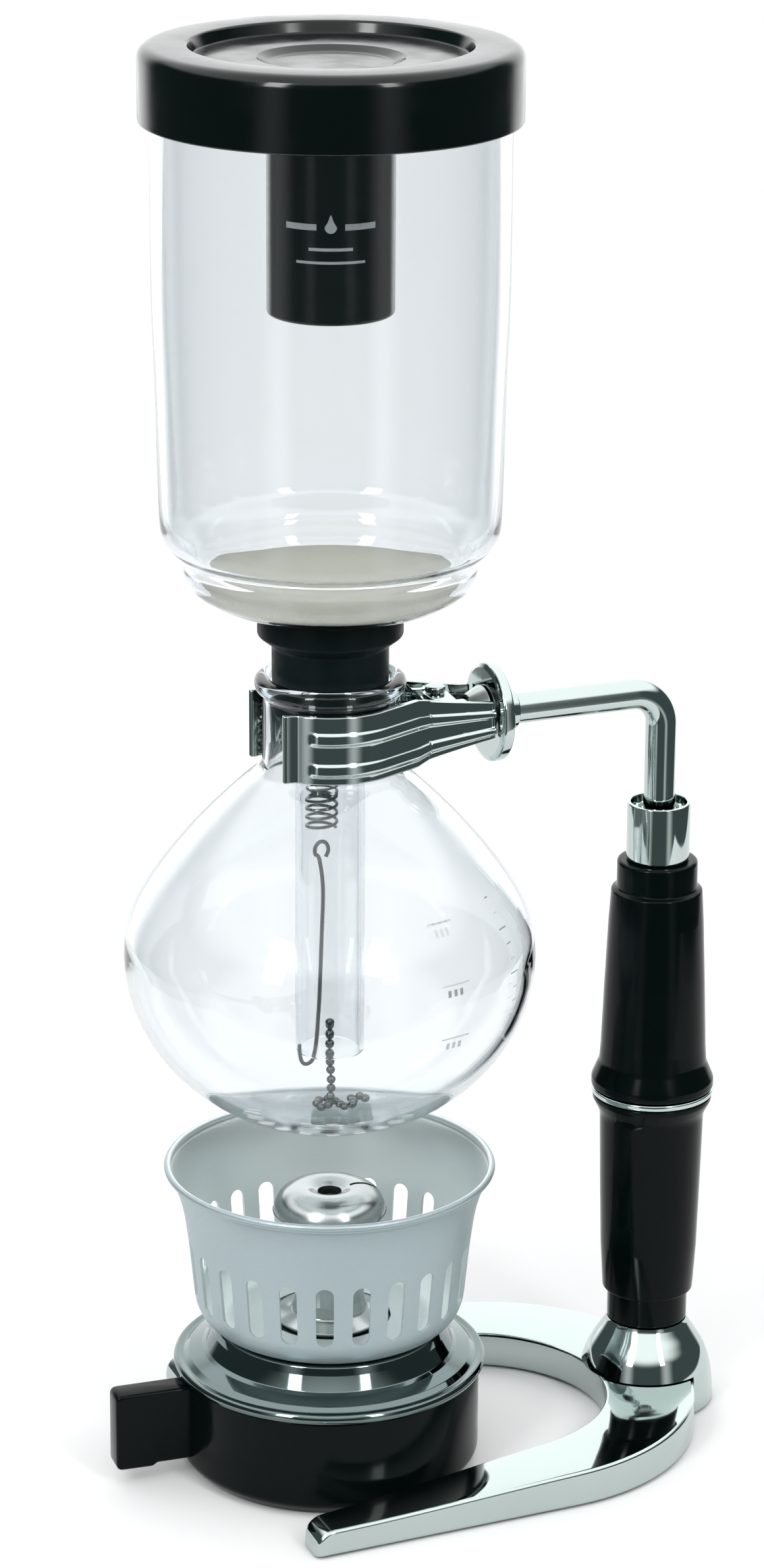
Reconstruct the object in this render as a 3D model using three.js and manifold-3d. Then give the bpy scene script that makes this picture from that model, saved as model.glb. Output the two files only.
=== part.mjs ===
// Siphon coffee maker: a glass vacuum brewer on a chromed stand, with a spirit lamp under it.
// Millimetres, +Z up. Every part is placed about the bowls' common axis, x = y = 0, with the
// handle on +X and the table at z = 0. The whole object is then shifted along X so that the middle
// of its footprint is the origin.
import * as THREE from 'three';
import { mergeVertices } from 'three/addons/utils/BufferGeometryUtils.js';
import Module from 'manifold-3d';

const wasm = await Module();
wasm.setup();

// ---- driving dimensions ----
const GAP = 0.3;            // clearance kept between two touching pieces
const BOWL_X = -24;       // the bowls' axis, seen from the middle of the footprint
const ROUND = 24;           // facets round a large turned part
const SMALL = 20;           // facets round a small turned part

// stand: the bar's outer and inner edges are each an arc that runs into two straight legs
const OUTER_EDGE = { centre: 43, radius: 50.8, slope: 0.025 };
const INNER_EDGE = { centre: 38.5, radius: 32.8, slope: 0.16 };
const LEG_TIP_X = -24;
const TIP_CORNER = 1.8;
const TIP_NOSE = 4.6;       // length over which the bar's top rounds down to the tip
const BAR_LIFT = 0.6;       // the pads hold the bar this far off the table
const BAR_TIP_TOP = 7;
const BAR_BEND_TOP = 9.8;
const BAR_EDGE = 1.2;
const PAD_RADIUS = 3.4;
const PAD_TOP = 1.6;
const PADS = [[-16, -47.1], [-16, 47.1], [74.8, -26.7], [74.8, 26.7]];

// handle
const HANDLE_X = 85.6;
const FOOT_TOP = 22.2;
const LOWER_GRIP = [22.5, 82.4];
const GRIP_RING = [82.7, 84.2];
const UPPER_GRIP = [84.5, 143.1];
const FERRULE = [143.4, 157.8];
const GRIP_BORE = 5.2;
const BOLT_RADIUS = 2.5;
const BOLT_BORE = 2.9;
const ARM_RADIUS = 3.75;
const ARM_BORE = ARM_RADIUS + GAP;
const ARM_Z = 185.7;        // height of the arm's level run
const ARM_BEND = 8;
const ARM_BOTTOM = 108;     // lower end of the arm, hidden in the upper grip
const ARM_ROUND_X = 31.5;   // where the round arm becomes a flat tongue

// clamp
const JAW_Z = [177.9, 194.3];
const JAW_INNER = 16.2;
const JAW_SHEET = 1.5;
const JAW_TIP = 148;        // degrees round from the handle side
const CREASE = [20.6, 8.4]; // where the band turns into the tail
const TAIL_END = [38.4, 6.9];
const TAIL_START = 17;
const TAIL_TAPER = 0.46;
const PIVOT_X = 26.5;
const PIVOT_RADIUS = 1.3;
const EAR_RADIUS = 3;
const WEDGE_X = [34.5, 38.7];
const NUT_X = [39, 42.5];
const NUT_RADIUS = 11.9;

// glass
const NECK_OUTER = 15.9;
const NECK_INNER = 13.9;
const LIP_RADIUS = 17.7;
const LIP_TOP = 199.5;
const BULB_RADIUS = 48.8;
const BULB_MID_Z = 131;
const BULB_DROP = 43;       // from the widest height down to the bottom
const BULB_WALL = 1.8;
const STEM_OUTER = 8.2;
const STEM_INNER = 6.9;
const STEM_BOTTOM = 106;
const CUP_RADIUS = 40.85;
const CUP_TOP = 340;
const CUP_WALL = 2;

// filter
const POST = [-1.85, 0.75];  // the spring hangs a little to one side of the stem's axis
const POST_BOTTOM = 191.5;
const SPRING_Z = [161.3, 191];
const SPRING_RADIUS = 3.6;
const SPRING_WIRE = 0.4;
const SPRING_PITCH = 2.15;
const HOOK_AZIMUTH = THREE.MathUtils.degToRad(200);
const HOOK_WIRE = 0.5;
const HEAP_AZIMUTH = THREE.MathUtils.degToRad(-22);
const BEAD_RADIUS = 1.1;
const BEAD_STEP = 2.3;

// lid
const LID_RADIUS = 43.4;
const LID_BOTTOM = 328.9;
const LID_TOP = 346;
const LID_TUBE = 14.6;
const LID_TUBE_BOTTOM = 285.1;

// lamp
const LAMP_RADIUS = 36.4;
const LAMP_TOP = 24.9;
const TAB_AZIMUTH = THREE.MathUtils.degToRad(-4.5);
const SHOULDER_TOP = 35.7;
const SCREEN_BOTTOM = SHOULDER_TOP + GAP;
const SCREEN_TOP = 77.4;
const SLOTS = 24;
const SLOT_WIDTH = 4.3;
const SLOT_Z = [43.2, 58.8];
const SLOT_PHASE = 6.3;     // degrees
const WICK_RADIUS = 2.5;

// ---- materials ----
const finish = (color, roughness, metalness, extra = {}) => () => (
  new THREE.MeshStandardMaterial({ color, roughness, metalness, ...extra }));
const chrome = finish('#c9d0d0', 0.12, 1);
const steel = finish('#a9adaa', 0.35, 1);
const satin = finish('#a9b6b9', 0.42, 0.85);
const black = finish('#0c1213', 0.22, 0);
const rubber = finish('#11181a', 0.6, 0);
const glass = finish('#e6eeee', 0.04, 0, { transparent: true, opacity: 0.3 });
const cloth = finish('#d2cfbe', 0.95, 0);
const cotton = finish('#efece2', 0.9, 0);
const brass = finish('#b79a5a', 0.35, 1);

const maker = new THREE.Group();
maker.position.x = BOWL_X;

function add(name, geometry, material) {
  const mesh = new THREE.Mesh(geometry, material());
  mesh.name = name;
  maker.add(mesh);
}

// ---- shape helpers ----
const point = (x, y) => new THREE.Vector2(x, y);

// A turned part about +Z from [radius, height] points, which start and end on the axis or are
// closed here. The outline is put in the order that makes the faces point out.
function turned(outline, segments = ROUND) {
  const points = outline.map(([r, z]) => point(r, z));
  if (THREE.ShapeUtils.area(points) < 0) points.reverse();
  const onAxis = points[0].x === 0 && points[points.length - 1].x === 0;
  if (!onAxis) points.push(points[0].clone());
  return new THREE.LatheGeometry(points, segments).rotateX(Math.PI / 2);
}

function plate(shape, low, high, curveSegments = 10) {
  const options = { depth: high - low, bevelEnabled: false, curveSegments };
  return new THREE.ExtrudeGeometry(shape, options).translate(0, 0, low);
}

function rod(radius, low, high, x = 0, y = 0, segments = SMALL) {
  const geometry = new THREE.CylinderGeometry(radius, radius, high - low, segments);
  return geometry.rotateX(Math.PI / 2).translate(x, y, (low + high) / 2);
}

function box(low, high) {
  const geometry = new THREE.BoxGeometry(high[0] - low[0], high[1] - low[1], high[2] - low[2]);
  return geometry.translate((low[0] + high[0]) / 2, (low[1] + high[1]) / 2, (low[2] + high[2]) / 2);
}

// A wire or rod of many-sided section along a smooth curve.
function wire(curve, radius, steps, sides) {
  const corners = [];
  for (let i = 0; i < sides; i += 1) {
    const angle = (2 * Math.PI * i) / sides;
    corners.push(point(radius * Math.cos(angle), radius * Math.sin(angle)));
  }
  return new THREE.ExtrudeGeometry(new THREE.Shape(corners), { steps, extrudePath: curve });
}

// ---- joining and cutting ----
function solid(geometry) {
  const bare = geometry.clone();
  bare.deleteAttribute('normal');
  bare.deleteAttribute('uv');
  const merged = mergeVertices(bare, 1e-4);
  const mesh = new wasm.Mesh({
    numProp: 3,
    vertProperties: new Float32Array(merged.attributes.position.array),
    triVerts: new Uint32Array(merged.index.array),
  });
  return new wasm.Manifold(mesh);
}

function surface(manifold) {
  const mesh = manifold.getMesh();
  const geometry = new THREE.BufferGeometry();
  const positions = new Float32Array(mesh.vertProperties);
  geometry.setAttribute('position', new THREE.BufferAttribute(positions, 3));
  geometry.setIndex(new THREE.BufferAttribute(new Uint32Array(mesh.triVerts), 1));
  geometry.computeVertexNormals();
  return geometry;
}

const join = (...parts) => parts.map(solid).reduce((whole, part) => whole.add(part));
const cut = (whole, ...parts) => parts.map(solid).reduce((rest, part) => rest.subtract(part), whole);

// ---- base: a horseshoe bar, open towards -X, whose top climbs from the tips to the bend ----
const edgeTurn = (edge) => Math.PI / 2 - Math.atan(edge.slope);
const legY = (edge, x) => edge.radius * Math.hypot(1, edge.slope) + edge.slope * (edge.centre - x);

function horseshoe() {
  const outer = legY(OUTER_EDGE, LEG_TIP_X);
  const inner = legY(INNER_EDGE, LEG_TIP_X);
  const outerTurn = edgeTurn(OUTER_EDGE);
  const innerTurn = edgeTurn(INNER_EDGE);
  const back = LEG_TIP_X + TIP_CORNER;
  const shape = new THREE.Shape();
  shape.moveTo(back, -outer);
  shape.absarc(OUTER_EDGE.centre, 0, OUTER_EDGE.radius, -outerTurn, outerTurn, false);
  shape.lineTo(back, outer);
  shape.quadraticCurveTo(LEG_TIP_X, outer, LEG_TIP_X, outer - TIP_CORNER);
  shape.lineTo(LEG_TIP_X, inner + TIP_CORNER);
  shape.quadraticCurveTo(LEG_TIP_X, inner, back, inner);
  shape.absarc(INNER_EDGE.centre, 0, INNER_EDGE.radius, innerTurn, -innerTurn, true);
  shape.lineTo(back, -inner);
  shape.quadraticCurveTo(LEG_TIP_X, -inner, LEG_TIP_X, -inner - TIP_CORNER);
  shape.lineTo(LEG_TIP_X, -outer + TIP_CORNER);
  shape.quadraticCurveTo(LEG_TIP_X, -outer, back, -outer);
  return shape;
}

function baseBar() {
  const bar = new THREE.ExtrudeGeometry(horseshoe(), {
    depth: BAR_TIP_TOP - BAR_LIFT - 2 * BAR_EDGE,
    curveSegments: 10,
    bevelSegments: 2,
    bevelSize: BAR_EDGE,
    bevelOffset: -BAR_EDGE,
    bevelThickness: BAR_EDGE,
  }).translate(0, 0, BAR_LIFT + BAR_EDGE);
  const position = bar.attributes.position;
  const middle = (BAR_LIFT + BAR_TIP_TOP) / 2;
  for (let i = 0; i < position.count; i += 1) {
    const climb = THREE.MathUtils.smoothstep(position.getX(i), LEG_TIP_X, 64);
    const rise = position.getZ(i) > middle ? climb * (BAR_BEND_TOP - BAR_TIP_TOP) : 0;
    position.setZ(i, position.getZ(i) + rise);
  }
  // each tip is a nose, rounded from the table side up to the top
  const nose = new THREE.Shape([point(-25, 9), point(LEG_TIP_X + TIP_NOSE, 9)]);
  for (let i = 0; i <= 8; i += 1) {
    const angle = (Math.PI / 2) * (i / 8);
    nose.lineTo(
      LEG_TIP_X + TIP_NOSE * (1 - Math.sin(angle)),
      2 + (BAR_TIP_TOP + 0.04 - 2) * Math.cos(angle),
    );
  }
  nose.lineTo(-25, 2);
  const aboveNose = plate(nose, -60, 60).rotateX(Math.PI / 2);
  const recesses = PADS.map(([x, y]) => rod(PAD_RADIUS + GAP, -1, PAD_TOP + GAP, x, y, 16));
  const boltHole = rod(BOLT_BORE, -1, 20, HANDLE_X);
  const counterbore = rod(6.2, -1, 5.3, HANDLE_X);
  return cut(solid(bar), aboveNose, boltHole, counterbore, ...recesses);
}
add('base', surface(baseBar()), chrome);
PADS.forEach(([x, y], i) => add(`foot_pad_${i + 1}`, rod(PAD_RADIUS, 0, PAD_TOP, x, y, 16), rubber));

// ---- handle ----
const onHandle = (outline, segments = SMALL) => turned(outline, segments).translate(HANDLE_X, 0, 0);

// The foot is a bell that stands on the bar. Its skirt goes down behind the bar's outer edge.
function handleFoot() {
  const bell = onHandle([
    [0, 0.9], [17, 0.9], [16.8, 5.2], [16.2, 9.4], [15.4, 12.2], [14.3, 14.8], [12.8, 17.2], [11.2, 19.6],
    [10.2, 21.5], [9.8, FOOT_TOP], [0, FOOT_TOP],
  ], ROUND);
  const bar = new THREE.ExtrudeGeometry(horseshoe(), {
    depth: BAR_BEND_TOP + 1,
    curveSegments: 10,
    bevelSegments: 1,
    bevelSize: GAP,
    bevelThickness: GAP,
  }).translate(0, 0, -1);
  const inside = box([50, -30, -1], [HANDLE_X, 30, BAR_BEND_TOP + GAP]);
  return cut(solid(bell), bar, inside, rod(BOLT_BORE, -1, 30, HANDLE_X));
}
add('handle_foot', surface(handleFoot()), chrome);
add('tie_bolt', surface(join(
  rod(5.6, 1.4, 5, HANDLE_X, 0, 6),
  rod(BOLT_RADIUS, 4, 124, HANDLE_X, 0, 12),
)), steel);
add('lower_grip', onHandle([
  [GRIP_BORE, LOWER_GRIP[0]], [9.6, LOWER_GRIP[0]], [9.9, 23], [9.9, 29.9], [11.1, 30.5], [11.5, 36],
  [11.9, 42.3], [12.4, 60.2], [12.8, 77.7], [13.4, 79.7], [14.5, 81.1], [14.7, LOWER_GRIP[1]],
  [GRIP_BORE, LOWER_GRIP[1]],
]), black);
add('grip_ring', onHandle([
  [GRIP_BORE, GRIP_RING[0]], [14.8, GRIP_RING[0]], [15, 83], [15, 83.9], [14.8, GRIP_RING[1]],
  [GRIP_BORE, GRIP_RING[1]],
]), chrome);
add('upper_grip', onHandle([
  [GRIP_BORE, UPPER_GRIP[0]], [14.8, UPPER_GRIP[0]], [15.1, 85.5], [14.6, 87.4], [13.4, 90.2], [12.9, 95.2],
  [12.3, 111.7], [11.6, 127.7], [11.1, 135.4], [9.8, 136.2], [9.8, 142.4], [9.3, UPPER_GRIP[1]],
  [ARM_BORE + 0.1, UPPER_GRIP[1]], [ARM_BORE + 0.1, 106], [GRIP_BORE, 106],
]), black);
add('handle_ferrule', onHandle([
  [ARM_BORE + 0.1, FERRULE[0]], [7.7, FERRULE[0]], [7.7, FERRULE[1] - 0.3], [7.3, FERRULE[1]],
  [6.8, FERRULE[1]], [ARM_BORE + 0.1, 153.2],
]), chrome);

// The arm runs up out of the handle, bends over and ends in a tongue with an eye for the pin.
function supportArm() {
  const low = new THREE.Vector3(HANDLE_X, 0, ARM_BOTTOM);
  const bendLow = new THREE.Vector3(HANDLE_X, 0, ARM_Z - ARM_BEND);
  const corner = new THREE.Vector3(HANDLE_X, 0, ARM_Z);
  const bendHigh = new THREE.Vector3(HANDLE_X - ARM_BEND, 0, ARM_Z);
  const end = new THREE.Vector3(ARM_ROUND_X, 0, ARM_Z);
  const round = 0.5523;     // makes a cubic curve follow a quarter circle
  const bend = new THREE.CubicBezierCurve3(
    bendLow,
    bendLow.clone().lerp(corner, round),
    bendHigh.clone().lerp(corner, round),
    bendHigh,
  );
  const path = new THREE.CurvePath();
  path.add(new THREE.LineCurve3(low, bendLow));
  path.add(bend);
  path.add(new THREE.LineCurve3(bendHigh, end));
  const tongue = box([PIVOT_X, -2.2, ARM_Z - 2.5], [ARM_ROUND_X + 1, 2.2, ARM_Z + 3.1]);
  const eye = rod(EAR_RADIUS, 183.2, 189, PIVOT_X);
  const arm = solid(wire(path, ARM_RADIUS, 30, 14)).add(join(tongue, eye));
  return cut(arm, rod(PIVOT_RADIUS + GAP, 170, 200, PIVOT_X), rod(BOLT_BORE, 100, 126, HANDLE_X));
}
add('support_arm', surface(supportArm()), chrome);

// ---- clamp: two ribbed sheet jaws on one pin, forced shut by a wedge and a round nut ----
// The line of a jaw seen from above, on the +Y side, from a given angle round the neck to the end
// of the tail. It is moved outwards by offset.
function jawLine(offset, fromAngle, withTail) {
  const radius = JAW_INNER + offset;
  const reach = Math.hypot(...CREASE);
  const leaves = Math.atan2(CREASE[1], CREASE[0]) + Math.acos(JAW_INNER / reach);
  const from = THREE.MathUtils.degToRad(fromAngle);
  const steps = 12;
  const line = [];
  for (let i = 0; i <= steps; i += 1) {
    const angle = THREE.MathUtils.lerp(from, leaves, i / steps);
    const back = THREE.MathUtils.radToDeg(angle) - (JAW_TIP - 12);
    const flare = back > 0 ? 2.6 * (back / 12) ** 2 : 0;
    line.push([(radius + flare) * Math.cos(angle), (radius + flare) * Math.sin(angle)]);
  }
  line.push([CREASE[0] + 0.26 * offset, CREASE[1] + 0.98 * offset]);
  if (withTail) line.push([TAIL_END[0], TAIL_END[1] + offset]);
  return line;
}

function jawBand(inner, outer, side) {
  const outline = [...inner, ...outer.slice().reverse()];
  return new THREE.Shape(outline.map(([x, y]) => point(x, side * y)));
}

function jaw(side) {
  const sheet = plate(
    jawBand(jawLine(0, JAW_TIP, true), jawLine(JAW_SHEET, JAW_TIP, true), side),
    JAW_Z[0],
    JAW_Z[1],
  );
  const ribs = [[179.8, 183], [187.1, 190.6]].map(([low, high]) => plate(
    jawBand(jawLine(JAW_SHEET - 0.4, 128, true), jawLine(JAW_SHEET + 0.6, 128, true), side),
    low,
    high,
  ));
  // the tail is drawn in towards the nut, ribs and all
  const middle = (JAW_Z[0] + JAW_Z[1]) / 2;
  [sheet, ...ribs].forEach((piece) => {
    const position = piece.attributes.position;
    for (let i = 0; i < position.count; i += 1) {
      const along = THREE.MathUtils.clamp(
        (position.getX(i) - TAIL_START) / (TAIL_END[0] - TAIL_START), 0, 1);
      const height = position.getZ(i) - middle;
      position.setZ(i, middle + height * (1 - TAIL_TAPER * along ** 0.8));
    }
  });
  // each jaw has an ear above and an ear below the arm's eye; the front jaw's are the outer pair
  const ears = side < 0 ? [[180.2, 181.4], [190.8, 192]] : [[181.7, 182.9], [189.3, 190.5]];
  const earPlates = ears.flatMap(([low, high]) => {
    const bridgeY = [0, side * (CREASE[1] - 0.2)];
    return [
      rod(EAR_RADIUS, low, high, PIVOT_X),
      box([PIVOT_X - 2.4, Math.min(...bridgeY), low], [PIVOT_X + 2.4, Math.max(...bridgeY), high]),
    ];
  });
  return cut(join(sheet, ...ribs, ...earPlates), rod(PIVOT_RADIUS + GAP, 170, 200, PIVOT_X));
}
add('clamp_jaw_front', surface(jaw(-1)), chrome);
add('clamp_jaw_rear', surface(jaw(1)), chrome);
add('clamp_pivot_pin', surface(join(
  rod(PIVOT_RADIUS, 179.2, 193, PIVOT_X, 0, 12),
  rod(2.4, 192.3, 193.7, PIVOT_X, 0, 12),
  rod(2.1, 178.5, 179.9, PIVOT_X, 0, 12),
)), steel);

const onArm = (outline) => turned(outline, SMALL).rotateY(Math.PI / 2).translate(0, 0, ARM_Z);
add('clamp_wedge', onArm([
  [ARM_BORE, WEDGE_X[0]], [4.6, WEDGE_X[0]], [6.7, WEDGE_X[1]], [ARM_BORE, WEDGE_X[1]],
]), steel);
add('clamp_nut', onArm([
  [ARM_BORE, NUT_X[0]], [NUT_RADIUS - 0.7, NUT_X[0]], [NUT_RADIUS, NUT_X[0] + 0.7],
  [NUT_RADIUS, NUT_X[1] - 0.7], [NUT_RADIUS - 0.7, NUT_X[1]], [5, NUT_X[1]], [4.7, 46.6], [ARM_BORE, 46.6],
]), chrome);

// ---- lower bowl: a blown bulb with straight shoulders, a neck and a rolled lip ----
function quarterEllipse(radius, drop, steps = 6) {
  const line = [];
  for (let i = 0; i < steps; i += 1) {
    const angle = (Math.PI / 2) * (i / steps);
    line.push([radius * Math.sin(angle), BULB_MID_Z - drop * Math.cos(angle)]);
  }
  line.push([radius, BULB_MID_Z]);
  return line;
}

function bulbOutline() {
  const shoulder = [
    [48.2, 137.4], [45.6, 144], [38.9, 154], [29, 165.5], [19.6, 174.6], [17, 176.5],
  ];
  const lip = [
    [NECK_OUTER, 177.8], [NECK_OUTER, 195], [16.9, 195.8], [LIP_RADIUS, 197], [LIP_RADIUS, 198.6],
    [16.7, LIP_TOP], [14.6, LIP_TOP], [NECK_INNER, LIP_TOP - 0.5], [NECK_INNER, 177.3],
  ];
  const inside = shoulder.map(([r, z]) => [r - 1.5, z - 1.2]).reverse();
  return [
    ...quarterEllipse(BULB_RADIUS, BULB_DROP), ...shoulder, ...lip, ...inside,
    ...quarterEllipse(BULB_RADIUS - BULB_WALL, BULB_DROP - BULB_WALL).reverse(),
  ];
}
add('lower_bowl', turned(bulbOutline()), glass);

// ---- upper bowl: a tall cup that steps in at its foot and ends in a stem ----
add('upper_bowl', turned([
  [STEM_INNER, STEM_BOTTOM], [STEM_OUTER, STEM_BOTTOM], [STEM_OUTER, 214.6], [9.4, 215.7], [22, 216.2],
  [27.7, 218.4], [32.3, 221.2], [33.8, 223.6], [34, 226.4], [35.9, 230], [38.2, 232.6], [39.3, 236],
  [39.85, 255], [40.7, 285], [CUP_RADIUS, 300], [CUP_RADIUS, CUP_TOP - 0.7], [40.2, CUP_TOP],
  [39.5, CUP_TOP],
  [CUP_RADIUS - CUP_WALL, CUP_TOP - 0.7], [CUP_RADIUS - CUP_WALL, 300], [38.8, 285], [38, 255],
  [37.4, 237.4],
  [36.2, 234], [34.2, 231.8], [32.6, 228.4], [32.3, 225.8], [32, 224.2], [30.6, 221], [25.4, 218.3],
  [8.8, 217.6], [STEM_INNER, 215.4],
]), glass);
add('rubber_gasket', turned([
  [8.5, 189.6], [12.4, 189.6], [13.3, 190.8], [13.5, 199.5], [13.65, 207.2], [17, 209.8], [17, 214.6],
  [16.5, 215.3], [10.4, 215.3], [8.5, 213.8],
], ROUND), rubber);

// ---- filter: a cloth drawn over a metal plate, sprung to a hook on the stem's rim ----
add('filter_plate', surface(join(
  turned([[0, 220.2], [25.6, 220.2], [26, 220.7], [25.6, 221.4], [0, 221.4]]),
  rod(1.1, POST_BOTTOM, 220.6, ...POST, 10),
  rod(3.2, POST_BOTTOM, POST_BOTTOM + 0.8, ...POST, 12),
)), steel);
add('filter_cloth', turned([
  [0, 222.9], [22, 222.9], [27.6, 222.7], [29.4, 222.2], [30, 221.5], [29.4, 220.8], [27.2, 219.7],
  [21.6, 219], [21.6, 219.7], [26.2, 219.9], [27.6, 220.8], [27.4, 221.6], [25.6, 221.8], [0, 221.8],
]), cloth);
add('cloth_drawstring', new THREE.TorusGeometry(20.4, 0.5, 4, ROUND).translate(0, 0, 219.4), cotton);

class Helix extends THREE.Curve {
  getPoint(t) {
    const angle = (2 * Math.PI * t * (SPRING_Z[1] - SPRING_Z[0])) / SPRING_PITCH;
    return new THREE.Vector3(
      POST[0] + SPRING_RADIUS * Math.cos(angle),
      POST[1] + SPRING_RADIUS * Math.sin(angle),
      THREE.MathUtils.lerp(SPRING_Z[0], SPRING_Z[1] - GAP, t),
    );
  }
}
add('filter_spring', wire(new Helix(), SPRING_WIRE, 110, 4), steel);

// The hook hangs from the spring in a loop, runs down the stem and turns up round its rim.
function hookCurve() {
  const points = [];
  for (let i = 0; i <= 6; i += 1) {
    const angle = THREE.MathUtils.degToRad(-50 + 50 * i);
    points.push(new THREE.Vector3(
      POST[0] + 1.7 * Math.cos(angle), POST[1], 156 + 2.2 * Math.sin(angle)));
  }
  const along = [[2.2, 147], [2.6, 135], [3.4, 118], [4.2, 109], [5.2, 105], [6.7, 103.9], [8.4, 104.3],
    [9.4, 106.2], [9.7, 109.5]];
  along.forEach(([r, z]) => points.push(
    new THREE.Vector3(r * Math.cos(HOOK_AZIMUTH), r * Math.sin(HOOK_AZIMUTH), z)));
  return new THREE.CatmullRomCurve3(points);
}
add('filter_hook', wire(hookCurve(), HOOK_WIRE, 44, 5), steel);

// The pull chain hangs beside the hook and lies in a small heap on the bowl's floor.
function chainCurve() {
  const inside = BULB_RADIUS - BULB_WALL;
  const floor = (r) => BULB_MID_Z - (BULB_DROP - BULB_WALL) * Math.sqrt(1 - (r / inside) ** 2);
  const heap = [
    [-0.6, -2.6], [-3, -1.6], [-2.6, 1.6], [0.4, 2.4], [2.2, -0.4], [4, -2.8], [6, -0.6], [5, 2.2],
    [7.6, 3], [9, 0.4],
  ];
  const points = [[0, 0, 112], [0, 0, 104], [0.2, -0.4, 96]].map((p) => new THREE.Vector3(...p));
  heap.forEach(([u, v]) => points.push(new THREE.Vector3(
    u * Math.cos(HEAP_AZIMUTH) - v * Math.sin(HEAP_AZIMUTH),
    u * Math.sin(HEAP_AZIMUTH) + v * Math.cos(HEAP_AZIMUTH),
    floor(Math.hypot(u, v)) + BEAD_RADIUS + GAP,
  )));
  return new THREE.CatmullRomCurve3(points);
}

function pullChain() {
  const curve = chainCurve();
  const beads = Math.floor(curve.getLength() / BEAD_STEP);
  const pieces = [wire(curve, 0.4, 30, 3)];
  for (let i = 0; i <= beads; i += 1) {
    const centre = curve.getPointAt(i / beads);
    pieces.push(new THREE.SphereGeometry(BEAD_RADIUS, 6, 4).translate(centre.x, centre.y, centre.z));
  }
  return join(...pieces);
}
add('pull_chain', surface(pullChain()), steel);

// ---- lid: a shallow cap with a hollow tube, so that upside down it is a stand for the upper bowl ----
add('lid', turned([
  [0, 341.7], [14.6, 341.8], [16.6, 343.1], [31.4, 343.1], [32, 345.3], [33, LID_TOP], [40.6, LID_TOP],
  [42.5, 345.2], [LID_RADIUS, 342.6], [LID_RADIUS, 329.6], [42.9, LID_BOTTOM], [42, LID_BOTTOM],
  [41.5, 329.5], [41.5, CUP_TOP + GAP], [LID_TUBE, CUP_TOP + GAP], [LID_TUBE, 286.2],
  [13.9, LID_TUBE_BOTTOM], [12.6, LID_TUBE_BOTTOM], [12.2, 338.9], [0, 338.9],
]), black);

// ---- lamp: a black casing with a finger tab, a tank, a chromed shoulder, a wick and its holder ----
function lampCasing() {
  const shell = turned([
    [0, 0], [33, 0], [35.2, 0.5], [36.1, 1.8], [LAMP_RADIUS, 4], [LAMP_RADIUS, LAMP_TOP], [34.8, LAMP_TOP],
    [34.8, 6], [33, 3.2], [29.5, 2.6], [0, 2.6],
  ]);
  const outline = [[-35.4, 5], [-44.8, 5], [-45.6, 4.2], [-53.4, 4.2], [-54.6, 5.4], [-54.6, 22.4],
    [-53.2, 23.8], [-35.4, 24]];
  const tab = new THREE.ExtrudeGeometry(new THREE.Shape(outline.map(([x, z]) => point(x, z))), {
    depth: 5, bevelSegments: 1, bevelSize: 1, bevelOffset: -1, bevelThickness: 1,
  }).translate(0, 0, -2.5).rotateX(Math.PI / 2).rotateZ(TAB_AZIMUTH);
  return join(shell, tab);
}
add('lamp_casing', surface(lampCasing()), black);
add('lamp_tank', turned([
  [0, 2.9], [29, 2.9], [32.6, 3.6], [34.4, 6.4], [34.4, 24.6], [33.6, 24.6], [33.6, 6.8], [32, 4.4],
  [29, 3.7], [0, 3.7],
]), brass);
add('lamp_shoulder', turned([
  [10.4, 34.7], [26.2, 34.7], [27.2, 33.2], [29.2, 29.5], [33.4, 27.4], [34.4, 25.2], [37.2, 25.2],
  [38, 26], [38, 27], [37.2, 27.8], [35.8, 27], [34.2, 28.4], [31.2, 29.6], [30.1, 30.3], [28.2, 33.6],
  [27.6, 35], [26.8, SHOULDER_TOP], [10.4, SHOULDER_TOP],
]), chrome);
add('wick_holder', turned([
  [WICK_RADIUS + 0.4, 31], [10.1, 31], [10.1, SHOULDER_TOP + GAP], [13.4, SHOULDER_TOP + GAP], [13.4, 37.8],
  [8.4, 39.4], [8.4, 59], [13.8, 64], [13.8, 64.8], [13.4, 66], [12.5, 68], [11, 69.5], [8.6, 70.5],
  [5.8, 70.6], [3.6, 69.8], [WICK_RADIUS + 0.4, 69.4],
], SMALL), chrome);
add('wick', turned([
  [0, 5], [WICK_RADIUS, 5], [WICK_RADIUS, 66.8], [1.9, 67.8], [0, 68.2],
], 12), cotton);

function windScreen() {
  const wall = turned([
    [14.6, SCREEN_BOTTOM], [27, SCREEN_BOTTOM], [29.7, 37.9], [32.3, 42], [34.5, 60.2], [35.7, 67.4],
    [37.4, 72.6], [39.8, 75.7], [39.8, SCREEN_TOP], [38.7, SCREEN_TOP], [36.4, 73], [34.8, 67.6],
    [33.6, 60.4], [31.4, 42.3], [29.2, 38.9], [26.7, 36.9], [14.6, 36.9],
  ], SLOTS).rotateZ(THREE.MathUtils.degToRad(SLOT_PHASE - 180 / SLOTS));
  const half = SLOT_WIDTH / 2;
  const slots = [];
  for (let i = 0; i < SLOTS; i += 1) {
    const shape = new THREE.Shape();
    shape.absarc(0, SLOT_Z[1] - half, half, 0, Math.PI, false);
    shape.absarc(0, SLOT_Z[0] + half, half, Math.PI, 2 * Math.PI, false);
    const turn = THREE.MathUtils.degToRad(SLOT_PHASE + (360 * i) / SLOTS);
    slots.push(plate(shape, 28, 40, 2).rotateX(Math.PI / 2).rotateZ(turn));
  }
  return cut(solid(wall), ...slots);
}
add('wind_screen', surface(windScreen()), satin);

export default maker;
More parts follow.
